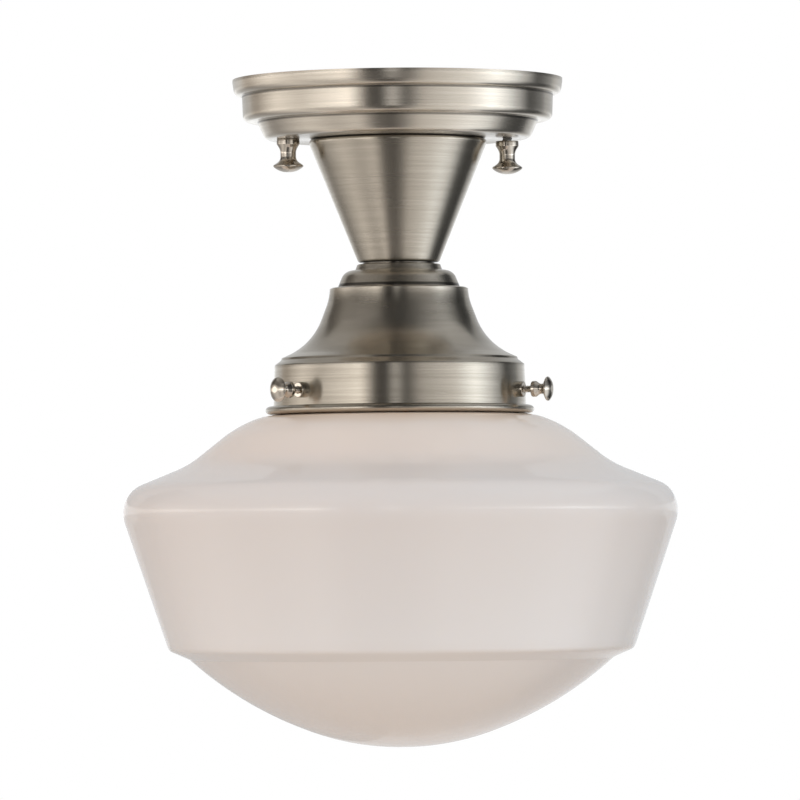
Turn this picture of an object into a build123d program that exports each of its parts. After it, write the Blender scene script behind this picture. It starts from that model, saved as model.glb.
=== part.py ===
"""Semi flush ceiling light: stepped canopy, cone neck, spun fitter and opal glass shade.

Millimetres, +Z up. The origin is on the light's axis in the ceiling plane, so the light
hangs towards -Z. X runs through the two canopy knobs.
"""
from build123d import *
import os
from math import cos, pi, radians, sin, tan

# Fits and edges that several pieces share
running_gap = 0.05            # radial, a screw in its thread or a pivot in its hole
clearance_gap = 0.2           # radial, a bolt-on piece over the stem or a screw through sheet
seat_gap = 0.3                # between glass and what bears on it
edge_rounding = 0.3           # broken edges of turned pieces
largest_arc_share = 0.999     # of a straight run, for the roundings at its ends

# Ceiling crossbar: two flat bars that swivel on a hollow rivet
bar_width = 19.0
bar_thickness = 1.6
bar_gap = 0.1
box_screw_spacing = 88.9
box_slot_width = 5.0
box_slot_length = 12.0
bar_end = 3.55                # metal beyond each slot
rivet_radius = 5.1
rivet_bore_radius = 4.2
rivet_flange_radius = 7.2
rivet_flange_thickness = 0.8

# Canopy screws, their lock nuts and the ground screw
knob_spacing = 88.9
canopy_screw_radius = 2.08
canopy_screw_head_radius = 3.6
canopy_screw_head_height = 2.4
canopy_screw_head_rounding = 1.0
canopy_screw_length = 31.8
lock_nut_flats = 8.7
lock_nut_height = 3.2
ground_screw_x = 24.0
ground_screw_radius = 2.4
ground_screw_length = 4.0
ground_screw_flats = 8.7
ground_screw_head_height = 3.0

# Canopy: a spun pan in three steps
canopy_sheet = 0.8
canopy_rim_radius = 66.7
canopy_rim_land = 1.2
canopy_step_1_foot = 65.9
canopy_step_1_height = 6.3
canopy_step_2_top = 62.9
canopy_step_2_foot = 62.5
canopy_step_2_height = 10.5
canopy_step_3_top = 56.8
canopy_step_3_foot = 53.5
canopy_step_3_height = 7.2
canopy_step_rounding = 2.4
canopy_crease_rounding = 0.4

# Canopy knobs
knob_collar_radius = 4.65
knob_collar_height = 2.1
knob_groove_height = 0.6
knob_groove_depth = 0.15
knob_neck_radius = 3.15
knob_neck_height = 4.4
knob_waist_rounding = 5.0
knob_flange_radius = 6.5      # before its edge is rounded
knob_flange_height = 10.85
knob_flange_rounding = 0.6
knob_flare_height = 2.25
knob_flare_rounding = 2.8
knob_face_radius = 3.6
knob_face_rounding = 8.5
knob_height = 13.4
knob_bore_depth = 10.0
right_knob_drop = 1.0         # the right knob is left unscrewed by this much

# Threaded stem with its nuts and washers
stem_radius = 5.1
stem_bore_radius = 3.4
stem_above_canopy_floor = 8.7
stem_below_fitter_top = 11.0
stem_nut_flats = 14.3
stem_nut_height = 4.8
stem_washer_radius = 8.5
stem_washer_thickness = 1.0

# Cone neck, neck ring and dome cap
cone_sheet = 0.8
cone_top_radius = 36.6
cone_top_flange = 3.5
cone_foot_radius = 16.25
cone_height = 50.2
cone_top_rounding = 1.5
cone_foot_rounding = 1.2
ring_top_radius = 16.3
ring_body_radius = 17.0
ring_foot_radius = 17.7
ring_height = 3.0
ring_flare_height = 0.6
ring_flare_rounding = 0.5
cap_sheet = 0.9
cap_shoulder_radius = 24.1
cap_foot_radius = 24.3
cap_height = 6.9
cap_rounding = 6.2
cap_foot_land = 0.6           # straight lip that stands on the fitter

# Fitter: a spun bell that ends in a band with a rolled bead
fitter_sheet = 0.9
fitter_top_radius = 28.0
fitter_top_rounding = 1.5
fitter_neck_radius = 28.1
fitter_neck_height = 4.1
fitter_neck_rounding = 21.0
fitter_waist_radius = 35.25
fitter_waist_height = 22.85
fitter_flare_rounding = 26.0
fitter_ledge_radius = 47.7
fitter_ledge_height = 28.4
fitter_ledge_step = 0.9
fitter_ledge_slant = 0.2
fitter_crease_rounding = 0.4
fitter_shoulder_drop = 2.0
fitter_shoulder_rounding = 0.8
band_top_radius = 50.55
band_foot_radius = 51.15
band_height = 18.2
bead_half_width = 2.05
bead_half_height = 1.65

# Thumbscrews that hold the glass, with their bosses and soft tips
thumbscrew_angles = (-145.0, -25.0, 95.0)
thumbscrew_above_bead = 7.6
thumbscrew_radius = 1.42
thumbscrew_exposed_shank = 5.6
thumbscrew_collar_radius = 3.2
thumbscrew_collar_length = 1.6
thumbscrew_neck_radius = 2.05
thumbscrew_neck_rounding = 1.6
thumbscrew_flange_radius = 5.2  # before its edge is rounded
thumbscrew_flange_rounding = 0.4
thumbscrew_flange_place = 6.5
thumbscrew_flare_length = 1.9
thumbscrew_flare_rounding = 1.2
thumbscrew_face_radius = 2.85
thumbscrew_face_rounding = 5.5
thumbscrew_head_length = 8.3
tip_length = 1.5
tip_rounding = 0.6
boss_radius = 3.1
boss_height = 2.0

# Glass shade
glass_wall = 3.0
glass_neck_radius = 46.8
glass_lip_radius = 49.2
glass_lip_height = 5.0
glass_lip_rounding = 1.6
glass_neck_rounding = 3.0
glass_below_bead = 0.3
glass_shoulder_radius = 55.5
glass_shoulder_drop = 0.2
glass_shoulder_rounding = 18.0
glass_brow_radius = 66.5
glass_brow_drop = 4.65
glass_brow_rounding = 50.0
glass_hollow_radius = 85.4
glass_hollow_drop = 19.6
glass_hollow_rounding = 38.0
glass_rim_radius = 115.5
glass_rim_drop = 31.85
glass_rim_rounding = 12.4
glass_skirt_radius = 94.1
glass_skirt_drop = 94.9
glass_skirt_rounding = 3.2
glass_step_radius = 85.8
glass_step_drop = 98.55
glass_step_rounding = 2.0
bowl_flank_radius = 63.3
bowl_flank_drop = 118.05
bowl_flank_rounding = 148.0
bowl_bottom_radius = 19.65
bowl_bottom_rounding = 105.0
glass_depth = 134.45

# Lampholder
holder_cap_sheet = 1.0
holder_cap_radius = 17.0
holder_cap_height = 18.0
holder_cap_rounding = 3.0
holder_radius = 19.0
holder_height = 33.2
holder_spigot_height = 4.0
holder_bore_depth = 26.0
holder_mouth_rounding = 1.5
holder_bore_rounding = 0.6
holder_spigot_rounding = 0.8
lead_hole_x = 6.0
shell_inner_radius = 13.5
shell_wall = 0.6
shell_height = 24.0
shell_recess = 1.0
contact_radius = 5.0
contact_thickness = 1.2
contact_rounding = 0.5

# Light bulb
bulb_cap_radius = 13.2
bulb_cap_wall = 0.5
bulb_cap_height = 22.0
bulb_contact_radius = 4.5
bulb_contact_height = 1.5
bulb_contact_rounding = 0.7
bulb_insulator_height = 4.0
bulb_insulator_land = 1.0
bulb_envelope_radius = 30.0
bulb_length = 105.0
bulb_glass = 1.0
bulb_neck_radius = 12.3
bulb_neck_overlap = 4.5
bulb_neck_length = 9.0
bulb_neck_rounding = 10.0
bulb_shoulder_drop = 36.0
bulb_shoulder_rounding = 50.0
stem_mount_length = 27.0
stem_mount_waist_radius = 3.5
stem_mount_waist_drop = 8.0
stem_mount_waist_rounding = 4.0
stem_mount_tip_radius = 2.5
filament_radius = 0.35
filament_half_width = 9.0
filament_drop = 18.0
filament_foot_spread = 1.2
filament_foot_length = 3.0
filament_bend = 1.5

# Leads and their connectors inside the canopy
lead_radius = 1.1
lead_spacing = 2.6
lead_bend = 4.0
lead_level = 9.5              # below the ceiling plane
lead_reach = 30.0
lead_in_holder = 3.0
lead_bend_clearance = 1.2
black_lead_angle = 62.0
white_lead_angle = 118.0
ground_lead_angle = -90.0
ground_lead_bend_start = 15.0
ground_lead_bend_end = 21.0
connector_mouth_radius = 5.0
connector_mouth_rounding = 0.6
connector_waist_radius = 4.6
connector_waist_rounding = 3.0
connector_tip_radius = 3.4
connector_tip_rounding = 1.5
connector_length = 17.0
connector_bore_radius = 1.8
connector_bore_depth = 9.0
connector_grip = 7.0          # how far a lead reaches into its connector


def offset_corners(corners, wall):
    """Corners (radius, height, rounding) of the outline that lies wall to the right of this one."""
    headings = []
    for (r0, z0, _), (r1, z1, _) in zip(corners, corners[1:]):
        headings.append(Vector(r1 - r0, z1 - z0).normalized())
    normals = [Vector(heading.Y, -heading.X) for heading in headings]
    moved = []
    for i, (r, z, rounding) in enumerate(corners):
        before = normals[max(i - 1, 0)]
        after = normals[min(i, len(normals) - 1)]
        place = Vector(r, z) + (before + after) * (wall / (1 + before.dot(after)))
        turns_left = before.cross(after).Z > 0
        new_rounding = rounding + wall if turns_left else max(rounding - wall, 0)
        moved.append((place.X, place.Y, new_rounding if rounding else 0))
    return moved


def fitted_roundings(corners):
    """Each corner's rounding, smaller where its arc and its neighbour's outgrow the run between them."""
    points = [Vector(r, z) for r, z, _ in corners]
    runs = [after - point for point, after in zip(points, points[1:] + points[:1])]
    tangents = []
    for i, (_, _, rounding) in enumerate(corners):
        turn = radians(runs[i - 1].get_angle(runs[i]))
        tangents.append(rounding * tan(turn / 2) if rounding else 0)
    shares = []
    for run, here, following in zip(runs, tangents, tangents[1:] + tangents[:1]):
        shares.append(min(1, largest_arc_share * run.length / max(here + following, edge_rounding)))
    return [corner[2] * min(shares[i - 1], shares[i]) for i, corner in enumerate(corners)]


def outline(corners, closed=False):
    """A run of straight lines through the corners in the XZ plane, rounded at each corner."""
    points = [(r, 0, z) for r, z, _ in corners]
    roundings = fitted_roundings(corners)
    return FilletPolyline(*points, radius=roundings if closed else roundings[1:-1], close=closed)


def spun_sheet(corners, wall):
    """A sheet or glass wall of even thickness: the outline is its outer face, traced wall-side right."""
    outer = outline(corners)
    inner = outline(offset_corners(corners, wall))
    rims = [Line(outer @ 0, inner @ 0), Line(outer @ 1, inner @ 1)]
    return revolve(make_face(outer.edges() + inner.edges() + rims), Axis.Z)


def turned(corners):
    """A solid turned about Z from a closed outline."""
    return revolve(make_face(outline(corners, closed=True).edges()), Axis.Z)


def ring(inner_radius, outer_radius, bottom, top):
    """A plain ring or tube about Z."""
    tube = Cylinder(outer_radius, top - bottom) - Cylinder(inner_radius, top - bottom)
    return Pos(0, 0, (bottom + top) / 2) * tube


def hex_block(flats, bottom, top):
    """A hexagonal block about Z, from its size across the flats."""
    corner_radius = flats / 2 / cos(pi / 6)
    return Pos(0, 0, bottom) * extrude(RegularPolygon(corner_radius, 6), top - bottom)


def wire(points, radius, bend):
    """A round wire along straight runs joined by arcs of the bend radius."""
    path = FilletPolyline(*points, radius=bend)
    return sweep(Plane(path @ 0, z_dir=path % 0) * Circle(radius), path=path)


# ---------------------------------------------------------------- ceiling crossbar
box_bar_bottom = -bar_thickness
canopy_bar_top = box_bar_bottom - bar_gap
canopy_bar_bottom = canopy_bar_top - bar_thickness
bar_length = box_screw_spacing + box_slot_length + 2 * bar_end
blank_bar = extrude(SlotOverall(bar_length, bar_width), bar_thickness)

box_slot = extrude(SlotOverall(box_slot_length, box_slot_width), bar_thickness)
box_bar = blank_bar - Cylinder(rivet_radius + running_gap, 4 * bar_thickness)
for side in (-1, 1):
    box_bar -= Pos(side * box_screw_spacing / 2, 0, 0) * box_slot
box_bar = Pos(0, 0, box_bar_bottom) * Rot(0, 0, 90) * box_bar

canopy_bar = blank_bar - Cylinder(rivet_radius + running_gap, 4 * bar_thickness)
for side in (-1, 1):
    screw_hole = Cylinder(canopy_screw_radius + running_gap, 4 * bar_thickness)
    canopy_bar -= Pos(side * knob_spacing / 2, 0, 0) * screw_hole
canopy_bar -= Pos(ground_screw_x, 0, 0) * Cylinder(ground_screw_radius + running_gap, 4 * bar_thickness)
canopy_bar = Pos(0, 0, canopy_bar_bottom) * canopy_bar

rivet_top = bar_gap + rivet_flange_thickness
rivet_bottom = canopy_bar_bottom - rivet_flange_thickness
crossbar_rivet = turned([
    (rivet_bore_radius, rivet_bottom, 0),
    (rivet_flange_radius, rivet_bottom, edge_rounding),
    (rivet_flange_radius, canopy_bar_bottom, 0),
    (rivet_radius, canopy_bar_bottom, 0),
    (rivet_radius, bar_gap, 0),
    (rivet_flange_radius, bar_gap, 0),
    (rivet_flange_radius, rivet_top, edge_rounding),
    (rivet_bore_radius, rivet_top, 0),
])

# ---------------------------------------------------------------- screws on the crossbar
canopy_screw = turned([
    (0, canopy_bar_top - canopy_screw_length, 0),
    (canopy_screw_radius, canopy_bar_top - canopy_screw_length, edge_rounding),
    (canopy_screw_radius, canopy_bar_top, 0),
    (canopy_screw_head_radius, canopy_bar_top, 0),
    (canopy_screw_head_radius, canopy_bar_top + canopy_screw_head_height, canopy_screw_head_rounding),
    (0, canopy_bar_top + canopy_screw_head_height, 0),
])
lock_nut_bottom = canopy_bar_bottom - lock_nut_height
lock_nut = hex_block(lock_nut_flats, lock_nut_bottom, canopy_bar_bottom)
lock_nut -= Pos(0, 0, lock_nut_bottom) * Cylinder(canopy_screw_radius + running_gap, 4 * lock_nut_height)
knob_places = [Pos(-knob_spacing / 2, 0, 0), Pos(knob_spacing / 2, 0, 0)]

ground_head_bottom = canopy_bar_bottom - ground_screw_head_height
ground_screw = hex_block(ground_screw_flats, ground_head_bottom, canopy_bar_bottom)
ground_screw += Pos(0, 0, canopy_bar_bottom + ground_screw_length / 2) * Cylinder(
    ground_screw_radius, ground_screw_length)
ground_screw = Pos(ground_screw_x, 0, 0) * ground_screw

# ---------------------------------------------------------------- canopy
step_1_level = -canopy_step_1_height
step_2_level = step_1_level - canopy_step_2_height
canopy_bottom = step_2_level - canopy_step_3_height
canopy_floor = canopy_bottom + canopy_sheet
stem_hole_radius = stem_radius + clearance_gap
canopy = spun_sheet([
    (canopy_rim_radius, 0, 0),
    (canopy_rim_radius, -canopy_rim_land, canopy_step_rounding),
    (canopy_step_1_foot, step_1_level, canopy_step_rounding),
    (canopy_step_2_top, step_1_level, canopy_crease_rounding),
    (canopy_step_2_foot, step_2_level, canopy_step_rounding),
    (canopy_step_3_top, step_2_level, canopy_crease_rounding),
    (canopy_step_3_foot, canopy_bottom, canopy_step_rounding),
    (stem_hole_radius, canopy_bottom, 0),
], canopy_sheet)
for place in knob_places:
    canopy -= place * Pos(0, 0, canopy_bottom) * Cylinder(
        canopy_screw_radius + clearance_gap, 4 * canopy_sheet)

# ---------------------------------------------------------------- canopy knobs
knob_bore_radius = canopy_screw_radius + running_gap
knob = turned([
    (0, -knob_bore_depth, 0),
    (knob_bore_radius, -knob_bore_depth, 0),
    (knob_bore_radius, 0, 0),
    (knob_collar_radius, 0, edge_rounding),
    (knob_collar_radius, -knob_groove_height + knob_groove_depth, 0),
    (knob_collar_radius - knob_groove_depth, -knob_groove_height, 0),
    (knob_collar_radius, -knob_groove_height - knob_groove_depth, 0),
    (knob_collar_radius, -knob_collar_height, edge_rounding),
    (knob_neck_radius, -knob_neck_height, knob_waist_rounding),
    (knob_neck_radius, -knob_flange_height + knob_flare_height, knob_flare_rounding),
    (knob_flange_radius, -knob_flange_height, knob_flange_rounding),
    (knob_face_radius, -knob_height, knob_face_rounding),
    (0, -knob_height, 0),
])
canopy_knob_left = knob_places[0] * Pos(0, 0, canopy_bottom) * knob
canopy_knob_right = knob_places[1] * Pos(0, 0, canopy_bottom - right_knob_drop) * knob

# ---------------------------------------------------------------- cone neck, neck ring and dome cap
cone_foot = canopy_bottom - cone_height
cone_neck = spun_sheet([
    (cone_top_radius - cone_top_flange, canopy_bottom, 0),
    (cone_top_radius, canopy_bottom, cone_top_rounding),
    (cone_foot_radius, cone_foot, cone_foot_rounding),
    (stem_hole_radius, cone_foot, 0),
], cone_sheet)

ring_foot = cone_foot - ring_height
neck_ring = turned([
    (stem_hole_radius, ring_foot, 0),
    (ring_foot_radius, ring_foot, 0),
    (ring_body_radius, ring_foot + ring_flare_height, ring_flare_rounding),
    (ring_top_radius, cone_foot, edge_rounding),
    (stem_hole_radius, cone_foot, 0),
])

fitter_top = ring_foot - cap_height
dome_cap = spun_sheet([
    (stem_hole_radius, ring_foot, 0),
    (cap_shoulder_radius, ring_foot, cap_rounding),
    (cap_foot_radius, fitter_top + cap_foot_land, 0),
    (cap_foot_radius, fitter_top, 0),
], cap_sheet)

# ---------------------------------------------------------------- fitter
ledge_level = fitter_top - fitter_ledge_height
band_top = ledge_level - fitter_ledge_step - fitter_shoulder_drop
bead_level = band_top - band_height
fitter_corners = [
    (stem_hole_radius, fitter_top, 0),
    (fitter_top_radius, fitter_top, fitter_top_rounding),
    (fitter_neck_radius, fitter_top - fitter_neck_height, fitter_neck_rounding),
    (fitter_waist_radius, fitter_top - fitter_waist_height, fitter_flare_rounding),
    (fitter_ledge_radius, ledge_level, fitter_crease_rounding),
    (fitter_ledge_radius + fitter_ledge_slant, ledge_level - fitter_ledge_step, fitter_crease_rounding),
    (band_top_radius, band_top, fitter_shoulder_rounding),
    (band_foot_radius, bead_level, 0),
]
fitter = spun_sheet(fitter_corners, fitter_sheet)
bead_centre = band_foot_radius - fitter_sheet + bead_half_width
bead_section = Pos(bead_centre, 0, bead_level) * Rot(90, 0, 0) * Ellipse(bead_half_width, bead_half_height)
fitter += revolve(bead_section, Axis.Z)

# ---------------------------------------------------------------- thumbscrews, bosses and tips
thumbscrew_level = bead_level + thumbscrew_above_bead
boss_end = band_foot_radius + boss_height
tip_end = glass_neck_radius + seat_gap
shank_start = tip_end + tip_length
head_start = band_foot_radius + thumbscrew_exposed_shank
flange_place = head_start + thumbscrew_flange_place
thumbscrew = turned([
    (0, shank_start, 0),
    (thumbscrew_radius, shank_start, 0),
    (thumbscrew_radius, head_start, 0),
    (thumbscrew_collar_radius, head_start, edge_rounding),
    (thumbscrew_collar_radius, head_start + thumbscrew_collar_length, edge_rounding),
    (thumbscrew_neck_radius, head_start + 2 * thumbscrew_collar_length, thumbscrew_neck_rounding),
    (thumbscrew_neck_radius, flange_place - thumbscrew_flare_length, thumbscrew_flare_rounding),
    (thumbscrew_flange_radius, flange_place, thumbscrew_flange_rounding),
    (thumbscrew_face_radius, head_start + thumbscrew_head_length, thumbscrew_face_rounding),
    (0, head_start + thumbscrew_head_length, 0),
])
soft_tip = turned([
    (0, tip_end, 0),
    (thumbscrew_radius, tip_end, tip_rounding),
    (thumbscrew_radius, shank_start, 0),
    (0, shank_start, 0),
])
screw_bore = Cylinder(thumbscrew_radius + running_gap, 4 * boss_end)
boss = Pos(0, 0, boss_end / 2) * Cylinder(boss_radius, boss_end) - screw_bore
fitter_space = turned([(0, fitter_top, 0)] + fitter_corners[1:] + [(0, bead_level, 0)])
thumbscrews = []
soft_tips = []
screw_bosses = []
for angle in thumbscrew_angles:
    outward = Pos(0, 0, thumbscrew_level) * Rot(0, 0, angle) * Rot(0, 90, 0)
    thumbscrews.append(outward * thumbscrew)
    soft_tips.append(outward * soft_tip)
    screw_bosses.append(outward * boss - fitter_space)
    hole = Pos(0, 0, band_foot_radius) * Cylinder(thumbscrew_radius + running_gap, 6 * fitter_sheet)
    fitter -= outward * hole

# ---------------------------------------------------------------- glass shade
lip_foot = thumbscrew_level + thumbscrew_radius + seat_gap
lip_top = lip_foot + glass_lip_height
glass_datum = bead_level - bead_half_height - glass_below_bead
glass_shade = spun_sheet([
    (glass_neck_radius, lip_top, 0),
    (glass_neck_radius, glass_datum, glass_neck_rounding),
    (glass_shoulder_radius, glass_datum - glass_shoulder_drop, glass_shoulder_rounding),
    (glass_brow_radius, glass_datum - glass_brow_drop, glass_brow_rounding),
    (glass_hollow_radius, glass_datum - glass_hollow_drop, glass_hollow_rounding),
    (glass_rim_radius, glass_datum - glass_rim_drop, glass_rim_rounding),
    (glass_skirt_radius, glass_datum - glass_skirt_drop, glass_skirt_rounding),
    (glass_step_radius, glass_datum - glass_step_drop, glass_step_rounding),
    (bowl_flank_radius, glass_datum - bowl_flank_drop, bowl_flank_rounding),
    (bowl_bottom_radius, glass_datum - glass_depth, bowl_bottom_rounding),
    (0, glass_datum - glass_depth, 0),
], glass_wall)
glass_lip = turned([
    (glass_neck_radius - glass_wall / 2, lip_foot, 0),
    (glass_lip_radius, lip_foot, glass_lip_rounding),
    (glass_lip_radius, lip_top, glass_lip_rounding),
    (glass_neck_radius - glass_wall / 2, lip_top, 0),
])
glass_shade += glass_lip

# ---------------------------------------------------------------- stem, nuts and washers
upper_washer_top = canopy_floor + stem_washer_thickness
upper_nut_top = upper_washer_top + stem_nut_height
lower_washer_top = fitter_top - fitter_sheet
lower_nut_top = lower_washer_top - stem_washer_thickness
holder_cap_top = lower_nut_top - stem_nut_height
stem_top = canopy_floor + stem_above_canopy_floor
stem_bottom = fitter_top - stem_below_fitter_top
threaded_stem = ring(stem_bore_radius, stem_radius, stem_bottom, stem_top)
upper_lock_washer = ring(stem_hole_radius, stem_washer_radius, canopy_floor, upper_washer_top)
lower_lock_washer = ring(stem_hole_radius, stem_washer_radius, lower_nut_top, lower_washer_top)
stem_thread = Cylinder(stem_radius + running_gap, -4 * fitter_top)
upper_lock_nut = hex_block(stem_nut_flats, upper_washer_top, upper_nut_top) - stem_thread
lower_lock_nut = hex_block(stem_nut_flats, holder_cap_top, lower_nut_top) - stem_thread

# ---------------------------------------------------------------- lampholder
holder_cap_bottom = holder_cap_top - holder_cap_height
lampholder_cap = spun_sheet([
    (stem_radius + running_gap, holder_cap_top, 0),
    (holder_cap_radius, holder_cap_top, holder_cap_rounding),
    (holder_cap_radius, holder_cap_bottom, 0),
], holder_cap_sheet)

spigot_radius = holder_cap_radius - holder_cap_sheet - running_gap
spigot_top = holder_cap_bottom + holder_spigot_height
holder_mouth = holder_cap_bottom - holder_height
bore_top = holder_mouth + holder_bore_depth
bore_radius = shell_inner_radius + shell_wall + running_gap
lampholder_body = turned([
    (0, spigot_top, 0),
    (0, bore_top, 0),
    (bore_radius, bore_top, 0),
    (bore_radius, holder_mouth, holder_bore_rounding),
    (holder_radius, holder_mouth, holder_mouth_rounding),
    (holder_radius, holder_cap_bottom, holder_mouth_rounding),
    (spigot_radius, holder_cap_bottom, 0),
    (spigot_radius, spigot_top, holder_spigot_rounding),
])
for side in (-1, 1):
    lead_hole = Cylinder(lead_radius + clearance_gap, 2 * (spigot_top - bore_top))
    lampholder_body -= Pos(side * lead_hole_x, 0, spigot_top) * lead_hole
lamp_shell_bottom = holder_mouth + shell_recess
lamp_screw_shell = ring(
    shell_inner_radius, shell_inner_radius + shell_wall, lamp_shell_bottom, lamp_shell_bottom + shell_height)
contact_bottom = bore_top - contact_thickness
lamp_centre_contact = turned([
    (0, bore_top, 0),
    (contact_radius, bore_top, 0),
    (contact_radius, contact_bottom, contact_rounding),
    (0, contact_bottom, 0),
])

# ---------------------------------------------------------------- light bulb
bulb_top = contact_bottom - seat_gap
insulator_top = bulb_top - bulb_contact_height
bulb_cap_top = insulator_top - bulb_insulator_height
bulb_cap_bottom = bulb_cap_top - bulb_cap_height
bulb_bottom = bulb_top - bulb_length
bulb_contact = turned([
    (0, insulator_top, 0),
    (bulb_contact_radius, insulator_top, 0),
    (bulb_contact_radius, bulb_top, bulb_contact_rounding),
    (0, bulb_top, 0),
])
bulb_insulator = turned([
    (0, bulb_cap_top, 0),
    (bulb_cap_radius - bulb_cap_wall, bulb_cap_top, 0),
    (bulb_contact_radius + bulb_insulator_land, insulator_top, 0),
    (0, insulator_top, 0),
])
bulb_cap = ring(bulb_cap_radius - bulb_cap_wall, bulb_cap_radius, bulb_cap_bottom, bulb_cap_top)
bulb_neck_top = bulb_cap_bottom + bulb_neck_overlap
bulb_envelope = spun_sheet([
    (bulb_neck_radius, bulb_neck_top, 0),
    (bulb_neck_radius, bulb_neck_top - bulb_neck_length, bulb_neck_rounding),
    (bulb_envelope_radius, bulb_neck_top - bulb_shoulder_drop, bulb_shoulder_rounding),
    (bulb_envelope_radius, bulb_bottom, bulb_envelope_radius - bulb_glass / 2),
    (0, bulb_bottom, 0),
], bulb_glass)
stem_flare_radius = bulb_neck_radius - bulb_glass - running_gap
stem_mount_bottom = bulb_neck_top - stem_mount_length
bulb_stem = turned([
    (0, bulb_neck_top, 0),
    (stem_flare_radius, bulb_neck_top, 0),
    (stem_flare_radius, bulb_neck_top - bulb_glass, 0),
    (stem_mount_waist_radius, bulb_neck_top - stem_mount_waist_drop, stem_mount_waist_rounding),
    (stem_mount_tip_radius, stem_mount_bottom, edge_rounding),
    (0, stem_mount_bottom, 0),
])
filament_level = stem_mount_bottom - filament_drop
bulb_filament = wire([
    (-filament_foot_spread, 0, stem_mount_bottom),
    (-filament_foot_spread, 0, stem_mount_bottom - filament_foot_length),
    (-filament_half_width, 0, filament_level),
    (filament_half_width, 0, filament_level),
    (filament_foot_spread, 0, stem_mount_bottom - filament_foot_length),
    (filament_foot_spread, 0, stem_mount_bottom),
], filament_radius, filament_bend)

# ---------------------------------------------------------------- leads and wire connectors
connector = turned([
    (connector_bore_radius, 0, 0),
    (connector_mouth_radius, 0, connector_mouth_rounding),
    (connector_waist_radius, connector_length / 2, connector_waist_rounding),
    (connector_tip_radius, connector_length, connector_tip_rounding),
    (0, connector_length, 0),
    (0, connector_bore_depth, 0),
    (connector_bore_radius, connector_bore_depth, 0),
])


def stem_lead(side, angle):
    """A lead from its hole in the lampholder, up through the stem and out across the canopy."""
    x = side * lead_spacing / 2
    towards = Vector(cos(radians(angle)), sin(radians(angle)))
    hole_x = side * lead_hole_x
    return wire([
        (hole_x, 0, bore_top + lead_in_holder),
        (hole_x, 0, spigot_top + lead_bend_clearance),
        (x, 0, stem_bottom - lead_bend_clearance),
        (x, 0, -lead_level),
        (x + lead_reach * towards.X, lead_reach * towards.Y, -lead_level),
    ], lead_radius, lead_bend)


def connector_at(x, y, angle):
    """A connector over a lead's end at (x, y), its mouth back along the lead."""
    mouth = Pos(x, y, -lead_level) * Rot(0, 0, angle) * Rot(0, 90, 0)
    return mouth * Pos(0, 0, -connector_grip) * connector


black_lead = stem_lead(1, black_lead_angle)
white_lead = stem_lead(-1, white_lead_angle)
ground_lead = wire([
    (ground_screw_x, -ground_screw_flats / 2 - running_gap, ground_head_bottom + lead_radius),
    (ground_screw_x, -ground_lead_bend_start, ground_head_bottom + lead_radius),
    (ground_screw_x, -ground_lead_bend_end, -lead_level),
    (ground_screw_x, -lead_reach, -lead_level),
], lead_radius, lead_bend)

connectors = []
for side, angle in ((1, black_lead_angle), (-1, white_lead_angle)):
    end_x = side * lead_spacing / 2 + lead_reach * cos(radians(angle))
    connectors.append(connector_at(end_x, lead_reach * sin(radians(angle)), angle))
connectors.append(connector_at(ground_screw_x, -lead_reach, ground_lead_angle))

# ---------------------------------------------------------------- one file per piece
pieces = {
    "box_bar": box_bar,
    "canopy_bar": canopy_bar,
    "crossbar_rivet": crossbar_rivet,
    "canopy_screws": Compound(children=[place * canopy_screw for place in knob_places]),
    "screw_lock_nuts": Compound(children=[place * lock_nut for place in knob_places]),
    "ground_screw": ground_screw,
    "canopy": canopy,
    "canopy_knob_left": canopy_knob_left,
    "canopy_knob_right": canopy_knob_right,
    "threaded_stem": threaded_stem,
    "upper_lock_washer": upper_lock_washer,
    "upper_lock_nut": upper_lock_nut,
    "cone_neck": cone_neck,
    "neck_ring": neck_ring,
    "dome_cap": dome_cap,
    "fitter": fitter,
    "lower_lock_washer": lower_lock_washer,
    "lower_lock_nut": lower_lock_nut,
    "lampholder_cap": lampholder_cap,
    "lampholder_body": lampholder_body,
    "lamp_screw_shell": lamp_screw_shell,
    "lamp_centre_contact": lamp_centre_contact,
    "bulb_envelope": bulb_envelope,
    "bulb_cap": bulb_cap,
    "bulb_insulator": bulb_insulator,
    "bulb_contact": bulb_contact,
    "bulb_stem": bulb_stem,
    "bulb_filament": bulb_filament,
    "glass_shade": glass_shade,
    "screw_bosses": Compound(children=screw_bosses),
    "black_lead": black_lead,
    "white_lead": white_lead,
    "ground_lead": ground_lead,
    "wire_connectors": Compound(children=connectors),
}
for number, (screw, tip) in enumerate(zip(thumbscrews, soft_tips), start=1):
    pieces[f"thumbscrew_{number}"] = screw
    pieces[f"thumbscrew_tip_{number}"] = tip

os.makedirs("parts", exist_ok=True)
for name, piece in pieces.items():
    export_step(piece, f"parts/{name}.step")
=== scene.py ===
"""Semi flush ceiling light: satin nickel canopy, cone and fitter over an opal glass shade."""
from math import cos, pi, radians, sin

import bmesh
import bpy
import numpy as np
from mathutils import Matrix, Vector


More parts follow.
